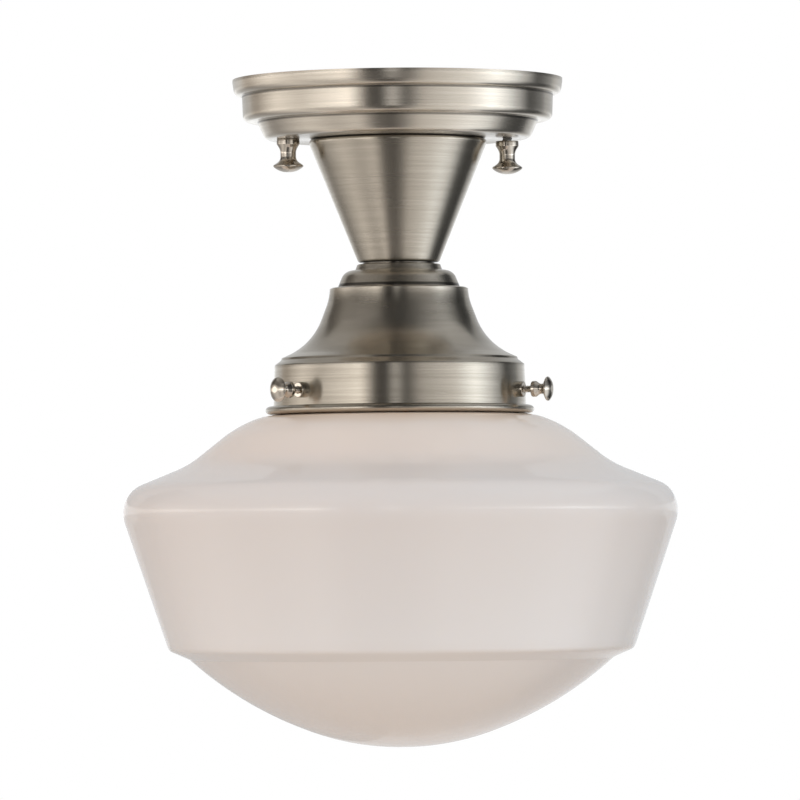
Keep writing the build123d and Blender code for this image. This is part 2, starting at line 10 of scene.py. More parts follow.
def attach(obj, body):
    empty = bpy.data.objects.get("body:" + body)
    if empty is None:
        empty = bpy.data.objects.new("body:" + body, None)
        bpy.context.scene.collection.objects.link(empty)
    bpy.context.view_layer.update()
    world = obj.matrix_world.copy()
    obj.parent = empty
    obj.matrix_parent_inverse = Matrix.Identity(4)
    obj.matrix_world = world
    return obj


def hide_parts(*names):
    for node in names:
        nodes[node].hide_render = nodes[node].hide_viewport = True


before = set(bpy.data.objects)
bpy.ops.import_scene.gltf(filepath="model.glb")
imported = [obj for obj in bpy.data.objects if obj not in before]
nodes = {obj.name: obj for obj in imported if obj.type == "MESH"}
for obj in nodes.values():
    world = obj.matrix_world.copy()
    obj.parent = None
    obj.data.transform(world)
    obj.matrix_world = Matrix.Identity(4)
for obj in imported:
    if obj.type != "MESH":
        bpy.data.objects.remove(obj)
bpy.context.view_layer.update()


# ---------------------------------------------------------------- crossbar
# The box bar and the canopy bar, pressed from zinc plated strip and joined by a hollow rivet, on which the
# canopy bar swivels. The box bar is screwed to the outlet box, and the ground screw sits in the canopy bar.
def nodes_of(name):
    """A new material with its node tree, and its shader's node."""
    material = bpy.data.materials.new(name)
    material.use_nodes = True
    tree = material.node_tree
    return material, tree, tree.nodes["Principled BSDF"]


def math_node(tree, operation, a, b=None, c=None):
    """One Math node; each input is a number or another node's output."""
    node = tree.nodes.new("ShaderNodeMath")
    node.operation = operation
    for socket, value in zip(node.inputs, (a, b, c)):
        if isinstance(value, bpy.types.NodeSocket):
            tree.links.new(value, socket)
        elif value is not None:
            socket.default_value = value
    return node.outputs[0]


def ramp(tree, factor, stops):
    """A colour ramp on a factor, from (place, colour) stops."""
    node = tree.nodes.new("ShaderNodeValToRGB")
    elements = node.color_ramp.elements
    while len(elements) < len(stops):
        elements.new(0.5)
    while len(elements) > len(stops):
        elements.remove(elements[-1])
    for element, (place, colour) in zip(elements, stops):
        element.position = place
        element.color = (*colour, 1)
    tree.links.new(factor, node.inputs[0])
    return node.outputs[0]


def ranged(tree, value, low, high):
    """A value from 0 to 1 spread between low and high."""
    node = tree.nodes.new("ShaderNodeMapRange")
    node.inputs["To Min"].default_value = low
    node.inputs["To Max"].default_value = high
    tree.links.new(value, node.inputs["Value"])
    return node.outputs[0]


def object_place(tree):
    """The place on the object, in metres."""
    return tree.nodes.new("ShaderNodeTexCoord").outputs["Object"]


def noise_node(tree, place, scale, detail):
    """Noise at a place, from 0 to 1."""
    noise = tree.nodes.new("ShaderNodeTexNoise")
    noise.inputs["Scale"].default_value = scale
    noise.inputs["Detail"].default_value = detail
    tree.links.new(place, noise.inputs["Vector"])
    return noise.outputs["Fac"]


def relief_node(tree, shader, height, strength, depth):
    """A bump on the shader's normal, of a depth in metres."""
    relief = tree.nodes.new("ShaderNodeBump")
    relief.inputs["Strength"].default_value = strength
    relief.inputs["Distance"].default_value = depth
    tree.links.new(height, relief.inputs["Height"])
    tree.links.new(relief.outputs[0], shader.inputs["Normal"])


def mottled(name, light, dark, rough, patch, depth, metallic=0.0):
    """A finish whose colour and roughness drift in patches, with a fine grain an eighth of their size."""
    material, tree, shader = nodes_of(name)
    shader.inputs["Metallic"].default_value = metallic
    place = object_place(tree)
    patches = noise_node(tree, place, 1 / patch, 3.0)
    grain = noise_node(tree, place, 8 / patch, 2.0)
    both = math_node(tree, "MULTIPLY_ADD", patches, 0.65, math_node(tree, "MULTIPLY", grain, 0.35))
    tree.links.new(ramp(tree, both, ((0.35, dark), (0.65, light))), shader.inputs["Base Color"])
    tree.links.new(ranged(tree, both, rough * 1.3, rough * 0.7), shader.inputs["Roughness"])
    relief_node(tree, shader, grain, 0.4, depth)
    return material


def dress(material, *names):
    """Gives the carried-over pieces their finish."""
    for name in names:
        for place in nodes[name].material_slots:
            place.material = material


zinc = mottled("zinc plated steel", (0.72, 0.72, 0.71), (0.60, 0.61, 0.63), 0.34, 0.004, 0.00002, 0.75)
green_screw = mottled(
    "green anodised screw", (0.06, 0.34, 0.14), (0.03, 0.24, 0.09), 0.3, 0.002, 0.00001, 0.6)
dress(zinc, "box_bar", "canopy_bar", "crossbar_rivet")
dress(green_screw, "ground_screw")


# ---------------------------------------------------------------- canopy screws
# Two zinc plated machine screws that hang through the canopy bar, each locked by a hexagon nut. The canopy
# knobs go on their lower ends.
def rounded_line(corners, spacing):
    """The line through corners (radius, height, rounding) in millimetres, rounded at each corner.

    At a corner where the heading turns by t, the arc of radius a starts a*tan(t/2) before the corner. Its
    points are start + a*(sin s * heading + (1 - cos s) * side it turns to), for s from 0 to t. Straight
    runs are then divided so that no step is longer than spacing.
    """
    corners = np.array(corners, float)
    place, rounding = corners[:, :2], corners[1:-1, 2]
    run = np.diff(place, axis=0)
    heading = run / np.linalg.norm(run, axis=1)[:, None]
    before, after = heading[:-1], heading[1:]
    across = before[:, 0] * after[:, 1] - before[:, 1] * after[:, 0]
    turn = np.arctan2(across, (before * after).sum(1))
    inward = np.sign(turn)[:, None] * np.stack([-before[:, 1], before[:, 0]], 1)
    start = place[1:-1] - (rounding * np.tan(np.abs(turn) / 2))[:, None] * before
    steps = np.clip(np.abs(turn) * np.maximum(rounding / spacing, 4), 3, 60)
    steps = np.where(rounding > 0, steps, 0).astype(int)
    corner = np.repeat(np.arange(len(steps)), steps + 1)
    step = np.arange(len(corner)) - np.repeat(np.cumsum(steps + 1) - steps - 1, steps + 1)
    s = (np.abs(turn)[corner] * step / np.maximum(steps[corner], 1))[:, None]
    arcs = start[corner] + rounding[corner, None] * (
        np.sin(s) * before[corner] + (1 - np.cos(s)) * inward[corner])
    line = np.concatenate([place[:1], arcs, place[-1:]])
    line = line[np.append(True, np.linalg.norm(np.diff(line, axis=0), axis=1) > 1e-4)]
    length = np.linalg.norm(np.diff(line, axis=0), axis=1)
    parts = np.ceil(length / spacing).astype(int)
    run = np.repeat(np.arange(len(parts)), parts)
    share = (np.arange(len(run)) - np.repeat(np.cumsum(parts) - parts, parts)) / parts[run]
    divided = line[run] + share[:, None] * (line[run + 1] - line[run])
    return np.concatenate([divided, line[-1:]])


def turned_outline(corners, spacing=0.4):
    """The closed outline of a solid turned piece: the line through its corners and back to the first one."""
    first = np.array(corners[0], float)
    halfway = (first + np.array(corners[-1], float)) / 2 * (1, 1, 0)
    return rounded_line([halfway, *corners, halfway], spacing)[:-1]


def mesh_object(name, points, faces):
    """An object at the origin with a smooth mesh, sharp only where its faces meet at more than 35 degrees."""
    mesh = bpy.data.meshes.new(name)
    mesh.from_pydata(points, [], faces)
    built = bmesh.new()
    built.from_mesh(mesh)
    bmesh.ops.remove_doubles(built, verts=built.verts, dist=1e-7)
    bmesh.ops.recalc_face_normals(built, faces=built.faces)
    built.to_mesh(mesh)
    built.free()
    mesh.shade_smooth()
    mesh.set_sharp_from_angle(angle=radians(35))
    piece = bpy.data.objects.new(name, mesh)
    bpy.context.scene.collection.objects.link(piece)
    return piece


def turned_surface(name, r, z, place):
    """The surface through (r cos a, r sin a, z) in millimetres, moved to its place.

    r and z have a row for each point of a closed outline and a column for each of the evenly spaced angles a.
    """
    rows, turns = r.shape
    angle = np.linspace(0, 2 * pi, turns, endpoint=False)
    points = np.stack([r * np.cos(angle), r * np.sin(angle), z], -1).reshape(-1, 3) / 1000
    points = points @ np.array(place.to_3x3()).T + np.array(place.translation)
    i, j = np.meshgrid(np.arange(rows), np.arange(turns), indexing="ij")
    below, beside = (i + 1) % rows, (j + 1) % turns
    faces = np.stack([i * turns + j, i * turns + beside, below * turns + beside, below * turns + j], -1)
    return mesh_object(name, points, faces.reshape(-1, 4))


def spun(name, outline, turns=256, place=Matrix(), relief=None):
    """A closed outline turned about Z. Its radius grows by relief(r, z, angle), such as a screw's groove."""
    angle = np.linspace(0, 2 * pi, turns, endpoint=False)
    r, z = outline[:, :1] + 0 * angle, outline[:, 1:] + 0 * angle
    return turned_surface(name, r + relief(r, z, angle) if relief else r, z, place)


def screw_groove(pitch, depth, low, high, least_radius):
    """A thread: the radius falls by depth * (1 + cos(2 pi z / pitch - angle)) / 2 between two heights.

    It runs in and out over a pitch at either end, and leaves alone what is nearer the axis than least_radius.
    """
    def relief(r, z, angle):
        fade = np.clip((z - low) / pitch, 0, 1) * np.clip((high - z) / pitch, 0, 1)
        return -depth / 2 * (1 + np.cos(2 * pi * z / pitch - angle)) * fade * (r > least_radius)
    return relief


def hex_nut(name, flats, bore, low, high, place=Matrix()):
    """A hexagon nut: at angle a its wall is at flats / 2 / cos(a from the nearest flat's middle).

    Beyond a circle just inside the flats, both faces slope back by half of what the radius gains.
    """
    angle = np.linspace(0, 2 * pi, 96, endpoint=False)
    wall = flats / 2 / np.cos((angle + pi / 6) % (pi / 3) - pi / 6)
    circle = flats * 0.48
    slope = (wall - circle) * 0.5
    r = [bore + 0 * wall, circle + 0 * wall, wall, wall, circle + 0 * wall, bore + 0 * wall]
    z = [low + 0 * wall, low + 0 * wall, low + slope, high - slope, high + 0 * wall, high + 0 * wall]
    return turned_surface(name, np.array(r), np.array(z), place)


def joined(name, *pieces):
    """One object made of several."""
    built = bmesh.new()
    for piece in pieces:
        built.from_mesh(piece.data)
        bpy.data.objects.remove(piece)
    mesh = bpy.data.meshes.new(name)
    built.to_mesh(mesh)
    built.free()
    whole = bpy.data.objects.new(name, mesh)
    bpy.context.scene.collection.objects.link(whole)
    return whole


def put(piece, body, slot, material, *stands_for):
    """The piece with its finish, riding on its body, in place of the nodes it stands for."""
    piece.data.materials.append(material)
    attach(piece, body)
    if stands_for:
        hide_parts(*stands_for)


screw_spacing = 0.0889
screw_places = [Matrix.Translation((side * screw_spacing / 2, 0, 0)) for side in (-1, 1)]
canopy_screw_line = turned_outline([
    (0, -33.5, 0), (2.08, -33.5, 0.3), (2.08, -1.7, 0), (3.6, -1.7, 0), (3.6, 0.7, 1.0), (0, 0.7, 0)], 0.13)
canopy_screw_thread = screw_groove(0.794, 0.42, -33.3, -1.9, 1.9)
canopy_screws = joined("canopy_screw_pair", *[
    spun("canopy_screw", canopy_screw_line, 48, place, canopy_screw_thread) for place in screw_places])
put(canopy_screws, "fixture", "zinc_steel", zinc, "canopy_screws")
screw_nuts = joined("screw_nut_pair", *[
    hex_nut("screw_nut", 8.7, 2.13, -6.5, -3.3, place) for place in screw_places])
put(screw_nuts, "fixture", "zinc_steel", zinc, "screw_lock_nuts")


# ---------------------------------------------------------------- canopy
# Spun in three steps from 0.8 mm steel, nickel plated and then brushed on the lathe, so the brush lines run
# round it. Its rim closes against the ceiling, and the canopy screws come through its floor.
def axes_of(tree, place):
    """The x, y and z of a place."""
    node = tree.nodes.new("ShaderNodeSeparateXYZ")
    tree.links.new(place, node.inputs[0])
    return node.outputs


def share_between(tree, value, low, high):
    """How far a value is from low, where it is 0, to high, where it is 1."""
    return math_node(tree, "MULTIPLY_ADD", value, 1 / (high - low), -low / (high - low))


def product(tree, first, second):
    """Two colours multiplied."""
    node = tree.nodes.new("ShaderNodeVectorMath")
    node.operation = "MULTIPLY"
    tree.links.new(first, node.inputs[0])
    tree.links.new(second, node.inputs[1])
    return node.outputs[0]


def turning_lines(tree, across=1800.0, around=1.2):
    """Lathe lines as noise on (radius + height, direction): quick across the lines, slow along them."""
    x, y, z = axes_of(tree, object_place(tree))
    square = math_node(tree, "MULTIPLY_ADD", x, x, math_node(tree, "MULTIPLY", y, y))
    distance = math_node(tree, "SQRT", square)
    # the direction, not the angle, so that nothing breaks where the angle starts again
    near = math_node(tree, "MAXIMUM", distance, 1e-5)
    lines = tree.nodes.new("ShaderNodeCombineXYZ")
    along = math_node(tree, "MULTIPLY", math_node(tree, "ADD", distance, z), across)
    tree.links.new(along, lines.inputs[0])
    for part, socket in zip((x, y), lines.inputs[1:]):
        tree.links.new(math_node(tree, "MULTIPLY", math_node(tree, "DIVIDE", part, near), around), socket)
    return noise_node(tree, lines.outputs[0], 1.0, 3.0), noise_node(tree, lines.outputs[0], 0.17, 2.0)


def turned_metal(name, light, dark, rough, brushed, bump):
    """Metal brushed on the lathe: its lines in colour, in roughness and as relief.

    Painted shade: the base colour darkens in the corners under the steps, in the groove and at the cap's
    foot, where shade falls, between these depths in millimetres below the ceiling. It darkens within the
    first
    0.15 mm and clears over the last 0.35 mm.
    """
    corners = ((6.35, 7.3), (16.85, 17.8), (24.05, 25.0), (73.4, 74.8), (82.6, 84.05))
    deepest, darkest_painted_shade = 100, 0.26
    material, tree, shader = nodes_of(name)
    fine, coarse = turning_lines(tree)
    shader.inputs["Metallic"].default_value = 1.0
    shader.inputs["Anisotropic"].default_value = brushed
    shader.inputs["Anisotropic Rotation"].default_value = 0.25
    around = tree.nodes.new("ShaderNodeTangent")
    around.direction_type = "RADIAL"
    around.axis = "Z"
    tree.links.new(around.outputs[0], shader.inputs["Tangent"])
    both = math_node(tree, "MULTIPLY_ADD", coarse, 0.45, math_node(tree, "MULTIPLY", fine, 0.55))
    x, y, z = axes_of(tree, object_place(tree))
    # painted shade: the base colour is darkened in the corner bands, where shade falls
    painted_corner_shade = ramp(tree, share_between(tree, z, 0, -deepest / 1000), [
        (depth / deepest, (shade, 0.97 * shade, 0.94 * shade)) for first, last in corners
        for depth, shade in ((first, 1), (first + 0.15, darkest_painted_shade), (last - 0.35, darkest_painted_shade), (last, 1))])
    lines = ramp(tree, both, ((0.32, dark), (0.68, light)))
    tree.links.new(product(tree, lines, painted_corner_shade), shader.inputs["Base Color"])
    tree.links.new(ranged(tree, both, rough + 0.05, rough - 0.05), shader.inputs["Roughness"])
    relief_node(tree, shader, fine, bump, 0.00002)
    return material


def sheet_outline(corners, wall, spacing):
    """The closed outline of a spun sheet: its outer face, then back along the inner face.

    The inner face's corners lie wall to the right of the outer ones, at
    corner + (n1 + n2) * wall / (1 + n1.n2) with n1 and n2 the right-hand normals of the two runs. A rounding
    grows or shrinks by the wall.
    """
    corners = np.array(corners, float)
    run = np.diff(corners[:, :2], axis=0)
    heading = run / np.linalg.norm(run, axis=1)[:, None]
    normal = np.stack([heading[:, 1], -heading[:, 0]], 1)
    before, after = np.concatenate([normal[:1], normal]), np.concatenate([normal, normal[-1:]])
    moved = corners[:, :2] + (before + after) * wall / (1 + (before * after).sum(1))[:, None]
    left = before[:, 0] * after[:, 1] - before[:, 1] * after[:, 0] > 0
    rounding = np.where(left, corners[:, 2] + wall, np.maximum(corners[:, 2] - wall, 0))
    rounding *= corners[:, 2] > 0
    inner = np.concatenate([moved, rounding[:, None]], 1)
    return np.concatenate([rounded_line(corners, spacing), rounded_line(inner, spacing)[::-1]])


# painted light: the canopy's nickel is the cone's satin nickel with a lighter base colour
canopy_nickel_painted_lighter = turned_metal("satin nickel pan, painted lighter", (0.80, 0.77, 0.705), (0.68, 0.65, 0.585), 0.26, 0.8, 0.13)
canopy_corners = [
    (66.7, 0, 0), (66.7, -1.2, 2.4), (65.9, -6.3, 2.4), (62.9, -6.3, 0.4), (62.5, -16.8, 2.4),
    (56.8, -16.8, 0.4), (53.5, -24.0, 2.4), (5.3, -24.0, 0)]
canopy = spun("canopy_pan", sheet_outline(canopy_corners, 0.8, 0.8))
put(canopy, "fixture", "satin_nickel", canopy_nickel_painted_lighter, "canopy")

# ---------------------------------------------------------------- canopy knobs
# Turned brass, nickel plated and polished, in the shape of a trumpet. They screw onto the canopy screws and
# hold the canopy up; the right one is a millimetre short of home.
polished_nickel = mottled(
    "polished nickel", (0.68, 0.63, 0.56), (0.60, 0.555, 0.49), 0.15, 0.004, 0.0000005, 1.0)
knob_line = turned_outline([
    (0, -10.0, 0), (2.13, -10.0, 0), (2.13, -0.02, 0.2), (4.65, -0.02, 0.3), (4.65, -0.5, 0),
    (4.5, -0.6, 0), (4.65, -0.7, 0), (4.65, -2.1, 0.3), (3.15, -4.4, 5.0), (3.15, -8.6, 2.8),
    (6.5, -10.85, 0.6), (3.6, -13.4, 8.5), (0, -13.4, 0)], 0.2)
for name, screw_place, top in zip(("left", "right"), screw_places, (-0.024, -0.025)):
    knob = spun(f"{name}_trumpet_knob", knob_line, 96, screw_place @ Matrix.Translation((0, 0, top)))
    put(knob, f"{name}_knob", "polished_nickel", polished_nickel, f"canopy_knob_{name}")

# ---------------------------------------------------------------- threaded stem
# A zinc plated pipe with its thread from end to end. A washer and a nut at each end clamp the canopy, cone,
# ring, cap and fitter between them, and the leads go through its bore.
stem = spun("stem_pipe", turned_outline([
    (3.4, -95.1, 0.2), (5.1, -95.1, 0.3), (5.1, -14.5, 0.3), (3.4, -14.5, 0.2)], 0.2), 64,
    relief=screw_groove(0.94, 0.5, -94.9, -14.7, 4.9))
put(stem, "fixture", "zinc_steel", zinc, "threaded_stem")
put(hex_nut("stem_nut_upper", 14.3, 5.15, -22.2, -17.4), "fixture", "zinc_steel", zinc, "upper_lock_nut")
put(hex_nut("stem_nut_lower", 14.3, 5.15, -90.8, -86.0), "fixture", "zinc_steel", zinc, "lower_lock_nut")
dress(zinc, "upper_lock_washer", "lower_lock_washer")

# ---------------------------------------------------------------- cone neck
# A spun cone with a short flange against the canopy, brushed like it, in the same plating, which on the
# canopy is painted lighter.
satin_nickel = turned_metal("satin nickel", (0.66, 0.635, 0.575), (0.53, 0.505, 0.445), 0.26, 0.8, 0.13)
cone_corners = [(33.1, -24.0, 0), (36.6, -24.0, 1.5), (16.4, -74.0, 1.5), (5.3, -74.0, 0)]
cone = spun("cone", sheet_outline(cone_corners, 0.8, 0.8))
put(cone, "fixture", "satin_nickel", satin_nickel, "cone_neck")

# ---------------------------------------------------------------- neck ring and dome cap
# A turned ring with a rounded lip and a groove under the cone, on a spun cap that covers the fitter's top.
ring_corners = [
    (5.3, -77.2, 0), (17.7, -77.2, 0), (17.55, -76.9, 0.2), (17.0, -75.4, 0.2), (16.95, -75.05, 0.2),
    (16.4, -74.7, 0.25), (14.4, -74.7, 0.1), (14.4, -74.0, 0), (5.3, -74.0, 0)]
neck_ring = spun("neck_collar", turned_outline(ring_corners))
put(neck_ring, "fixture", "satin_nickel", satin_nickel, "neck_ring")

cap_corners = [(5.3, -77.2, 0), (21.9, -77.2, 4.7), (24.45, -83.3, 0.3), (24.6, -84.1, 0)]
cap = spun("fitter_cap", sheet_outline(cap_corners, 0.9, 0.5))
put(cap, "fixture", "satin_nickel", satin_nickel, "dome_cap")

# ---------------------------------------------------------------- fitter
# A spun bell that opens into a straight band. The band's edge is rolled outwards to a bead.
bead_level = -133.6
fitter_corners = [
    (5.3, -84.1, 0), (28.0, -84.1, 1.5), (28.1, -88.2, 21.0), (35.25, -106.95, 26.0), (47.7, -112.5, 0.4),
    (47.9, -113.4, 0.4), (50.55, -115.4, 0.8), (51.15, bead_level - 0.4, 0)]
fitter = spun("fitter_bell", sheet_outline(fitter_corners, 0.9, 0.8))
put(fitter, "fixture", "satin_nickel", satin_nickel, "fitter")

bead_angle = np.linspace(0, 2 * pi, 36, endpoint=False)
bead_line = np.stack([52.3 + 2.05 * np.cos(bead_angle), bead_level + 1.65 * np.sin(bead_angle)], 1)
bead = spun("fitter_bead", bead_line)
put(bead, "fixture", "satin_nickel", satin_nickel)

# ---------------------------------------------------------------- thumbscrews
# Three polished screws with trumpet heads, in threaded bosses on the band. Each has a soft tip that bears on
# the glass neck under its lip.
thumbscrew_line = turned_outline([
    (0, 48.6, 0), (1.42, 48.6, 0), (1.42, 56.75, 0), (3.2, 56.75, 0.3), (3.2, 58.35, 0.3), (2.05, 59.95, 1.6),
    (2.05, 61.35, 1.2), (5.2, 63.25, 0.4), (2.85, 65.05, 5.5), (0, 65.05, 0)], 0.15)
thumbscrew_thread = screw_groove(0.635, 0.3, 48.7, 56.6, 1.2)
boss_line = turned_outline([(1.47, 50.2, 0), (3.1, 50.2, 0), (3.1, 53.15, 0.25), (1.47, 53.15, 0.1)], 0.2)
soft_tip = mottled("soft tip", (0.90, 0.89, 0.85), (0.83, 0.81, 0.76), 0.5, 0.001, 0.00001)
screw_level = Matrix.Translation((0, 0, -0.126))
outwards = [screw_level @ Matrix.Rotation(radians(angle), 4, "Z") @ Matrix.Rotation(radians(90), 4, "Y")
            for angle in (-145, -25, 95)]
for number, place in enumerate(outwards, start=1):
    thumbscrew = spun(f"trumpet_thumbscrew_{number}", thumbscrew_line, 96, place, thumbscrew_thread)
    put(thumbscrew, f"screw_{number}", "polished_nickel", polished_nickel, f"thumbscrew_{number}")
    dress(soft_tip, f"thumbscrew_tip_{number}")
bosses = joined("boss_trio", *[spun("boss", boss_line, 64, place) for place in outwards])
put(bosses, "fixture", "polished_nickel", polished_nickel, "screw_bosses")

# ---------------------------------------------------------------- glass shade
# Mouth-blown opal glass, white inside and clear outside, cased in one wall and fire polished. Its neck has a
# lip that the three thumbscrews hold.
opal, opal_tree, opal_shader = nodes_of("opal glass")
opal_place = object_place(opal_tree)
clouds = noise_node(opal_tree, opal_place, 22.0, 3.0)
# painted light: the colour turns warm and light towards the neck, a painted glow, and darker orange just
# under the bead, painted shade and a painted reflection of the bead; it is a little warmer at the bowl's
# foot, painted warm light from below. The clouds vary it at random.
bowl_foot, neck_top = -0.27, -0.12
height = share_between(opal_tree, axes_of(opal_tree, opal_place)[2], bowl_foot, neck_top)
painted_glow_height_and_clouds = math_node(opal_tree, "MULTIPLY_ADD", clouds, 0.04, math_node(opal_tree, "SUBTRACT", height, 0.02))
opal_colour_and_painted_glow = ramp(opal_tree, painted_glow_height_and_clouds, (
    (0.0, (0.90, 0.86, 0.835)), (0.3, (0.91, 0.895, 0.89)), (0.68, (0.86, 0.82, 0.80)),
    (0.8, (0.94, 0.835, 0.765)), (0.865, (0.97, 0.86, 0.785)), (0.895, (0.95, 0.76, 0.62))))
opal_tree.links.new(opal_colour_and_painted_glow, opal_shader.inputs["Base Color"])
opal_tree.links.new(ranged(opal_tree, clouds, 0.03, 0.07), opal_shader.inputs["Roughness"])
opal_shader.inputs["IOR"].default_value = 1.52
opal_shader.inputs["Subsurface Weight"].default_value = 0.15
opal_shader.inputs["Subsurface Radius"].default_value = (0.004, 0.0035, 0.003)
opal_shader.inputs["Subsurface Scale"].default_value = 1.0
relief_node(opal_tree, opal_shader, noise_node(opal_tree, opal_place, 35.0, 1.0), 0.5, 0.0001)

glass_datum = bead_level - 1.95
glass_corners = [(46.8, -119.28, 0), (46.8, glass_datum, 3.0)] + [
    (radius, glass_datum - drop, rounding) for radius, drop, rounding in (
        (55.5, 0.2, 18.0), (66.5, 4.65, 50.0), (85.4, 19.6, 38.0), (115.5, 31.85, 12.4), (94.1, 94.9, 3.2),
        (85.8, 98.55, 2.0), (63.3, 118.05, 148.0), (19.65, 134.45, 105.0), (0, 134.45, 0))]
lip = spun("shade_lip", turned_outline([
    (45.3, -124.28, 0), (49.2, -124.28, 1.6), (49.2, -119.28, 1.6), (45.3, -119.28, 0)]), 128)
shade = joined("opal_shade", spun("shade_wall", sheet_outline(glass_corners, 3.0, 2.2), 216), lip)
put(shade, "fixture", "opal_glass", opal, "glass_shade")

# ---------------------------------------------------------------- lampholder
# A porcelain body with a medium screw shell, hung from the stem's lower end by its brass cap.
socket_brass = mottled("socket brass", (0.82, 0.64, 0.33), (0.70, 0.53, 0.25), 0.24, 0.003, 0.00001, 1.0)
porcelain = mottled("glazed porcelain", (0.92, 0.91, 0.88), (0.87, 0.855, 0.82), 0.15, 0.006, 0.00002)
lamp_groove = screw_groove(3.63, 0.6, -141.0, -118.0, 5.0)
shell_line = turned_outline([
    (13.5, -141.0, 0.1), (14.1, -141.0, 0.1), (14.1, -117.0, 0.1), (13.5, -117.0, 0.1)])
lamp_shell = spun("lamp_shell", shell_line, 96, relief=lamp_groove)
put(lamp_shell, "fixture", "socket_brass", socket_brass, "lamp_screw_shell")
dress(socket_brass, "lampholder_cap", "lamp_centre_contact")
dress(porcelain, "lampholder_body")

# ---------------------------------------------------------------- light bulb
# A soft white bulb: a glass envelope coated inside, on an aluminium screw cap with a soldered contact.
# Inside, a coiled wire filament hangs between two support wires from a glass stem.
aluminium = mottled("bulb cap aluminium", (0.82, 0.83, 0.84), (0.72, 0.73, 0.75), 0.25, 0.003, 0.00001, 1.0)
solder = mottled("solder", (0.66, 0.66, 0.66), (0.52, 0.52, 0.53), 0.38, 0.001, 0.00003, 1.0)
tungsten = mottled("filament wire", (0.30, 0.30, 0.31), (0.20, 0.20, 0.21), 0.4, 0.0005, 0.00001, 1.0)
black_glass = mottled("insulator glass", (0.05, 0.05, 0.05), (0.02, 0.02, 0.025), 0.12, 0.002, 0.00001)
coated_glass = mottled("coated bulb glass", (0.97, 0.96, 0.93), (0.93, 0.91, 0.87), 0.16, 0.01, 0.00001)
coated_glass.node_tree.nodes["Principled BSDF"].inputs["Transmission Weight"].default_value = 0.25
clear_glass = mottled("clear stem glass", (0.95, 0.98, 0.97), (0.90, 0.94, 0.94), 0.03, 0.004, 0.00001)
clear_glass.node_tree.nodes["Principled BSDF"].inputs["Transmission Weight"].default_value = 0.9

bulb_cap_line = turned_outline([
    (12.7, -145.0, 0.1), (13.2, -145.0, 0.1), (13.2, -123.0, 0.1), (12.7, -123.0, 0.1)])
bulb_cap = spun("screw_cap", bulb_cap_line, 96, relief=lamp_groove)
put(bulb_cap, "bulb", "bulb_aluminium", aluminium, "bulb_cap")
envelope_corners = [
    (12.3, -140.5, 0), (12.3, -149.5, 10.0), (30.0, -176.5, 50.0), (30.0, -222.5, 29.5), (0, -222.5, 0)]
envelope = spun("envelope", sheet_outline(envelope_corners, 1.0, 0.8), 128)
put(envelope, "bulb", "bulb_glass", coated_glass, "bulb_envelope")
dress(black_glass, "bulb_insulator")
dress(solder, "bulb_contact")
dress(clear_glass, "bulb_stem")
dress(tungsten, "bulb_filament")

# ---------------------------------------------------------------- leads and connectors
# Black, white and green insulated leads. The first two come up through the stem, and each ends in a moulded
# wire connector with grip flutes, folded away inside the canopy.
for colour, lead, light, dark in (
        ("black", "black_lead", (0.035, 0.035, 0.037), (0.015, 0.015, 0.015)),
        ("white", "white_lead", (0.87, 0.87, 0.84), (0.80, 0.80, 0.76)),
        ("green", "ground_lead", (0.04, 0.34, 0.12), (0.02, 0.25, 0.08))):
    dress(mottled(f"{colour} insulation", light, dark, 0.35, 0.003, 0.00002), lead)
connector_plastic = mottled("connector plastic", (0.84, 0.36, 0.06), (0.76, 0.29, 0.04), 0.4, 0.003, 0.00003)


def grip_flutes(r, z, angle):
    """Sixteen flutes 0.3 mm deep on the outside, from 1 mm above the mouth to 2 mm under the tip."""
    fade = np.clip((z - 1.0) / 1.5, 0, 1) * np.clip((15.0 - z) / 2.5, 0, 1)
    return -0.15 * (1 + np.cos(16 * angle)) * fade * (r > 3.0)


connector_line = turned_outline([
    (1.8, 0, 0.2), (5.0, 0, 0.6), (4.6, 8.5, 3.0), (3.4, 17.0, 1.5),
    (0, 17.0, 0), (0, 9.0, 0), (1.8, 9.0, 0)])
lead_level, lead_reach, lead_grip = -0.0095, 0.030, 0.007
connector_places = [
    Matrix.Translation((start, 0, lead_level)) @ Matrix.Rotation(radians(direction), 4, "Z")
    @ Matrix.Translation((lead_reach - lead_grip, 0, 0)) @ Matrix.Rotation(radians(90), 4, "Y")
    for start, direction in ((0.0013, 62), (-0.0013, 118), (0.024, -90))]
connectors = joined("connector_trio", *[
    spun("connector", connector_line, 128, place, grip_flutes) for place in connector_places])
put(connectors, "fixture", "connector_plastic", connector_plastic, "wire_connectors")

# ---------------------------------------------------------------- studio
# A pale floor 1.6 m under the ceiling, white all round, and soft light from every side, a little weaker from
# above. Large reflectors and black flags, which only metal and glass reflect, stand 2 m round the light.
around = np.linspace(0, 2 * pi, 96, endpoint=False)
floor = mesh_object("studio_floor", [(12 * cos(a), 12 * sin(a), -1.6) for a in around], [range(len(around))])
floor_paint, floor_tree, floor_shader = nodes_of("floor paint")
floor_shader.inputs["Roughness"].default_value = 0.9
floor_seen = floor_tree.nodes.new("ShaderNodeLightPath").outputs["Is Diffuse Ray"]
floor_tree.links.new(ramp(floor_tree, floor_seen, (
    (0.0, (0.8, 0.8, 0.8)), (1.0, (0.84, 0.73, 0.64)))), floor_shader.inputs["Base Color"])
# seen from underneath the floor is clear
behind = floor_tree.nodes.new("ShaderNodeMixShader")
floor_tree.links.new(floor_tree.nodes.new("ShaderNodeNewGeometry").outputs["Backfacing"], behind.inputs[0])
floor_tree.links.new(floor_shader.outputs[0], behind.inputs[1])
floor_tree.links.new(floor_tree.nodes.new("ShaderNodeBsdfTransparent").outputs[0], behind.inputs[2])
floor_tree.links.new(behind.outputs[0], floor_tree.nodes["Material Output"].inputs["Surface"])
floor.data.materials.append(floor_paint)

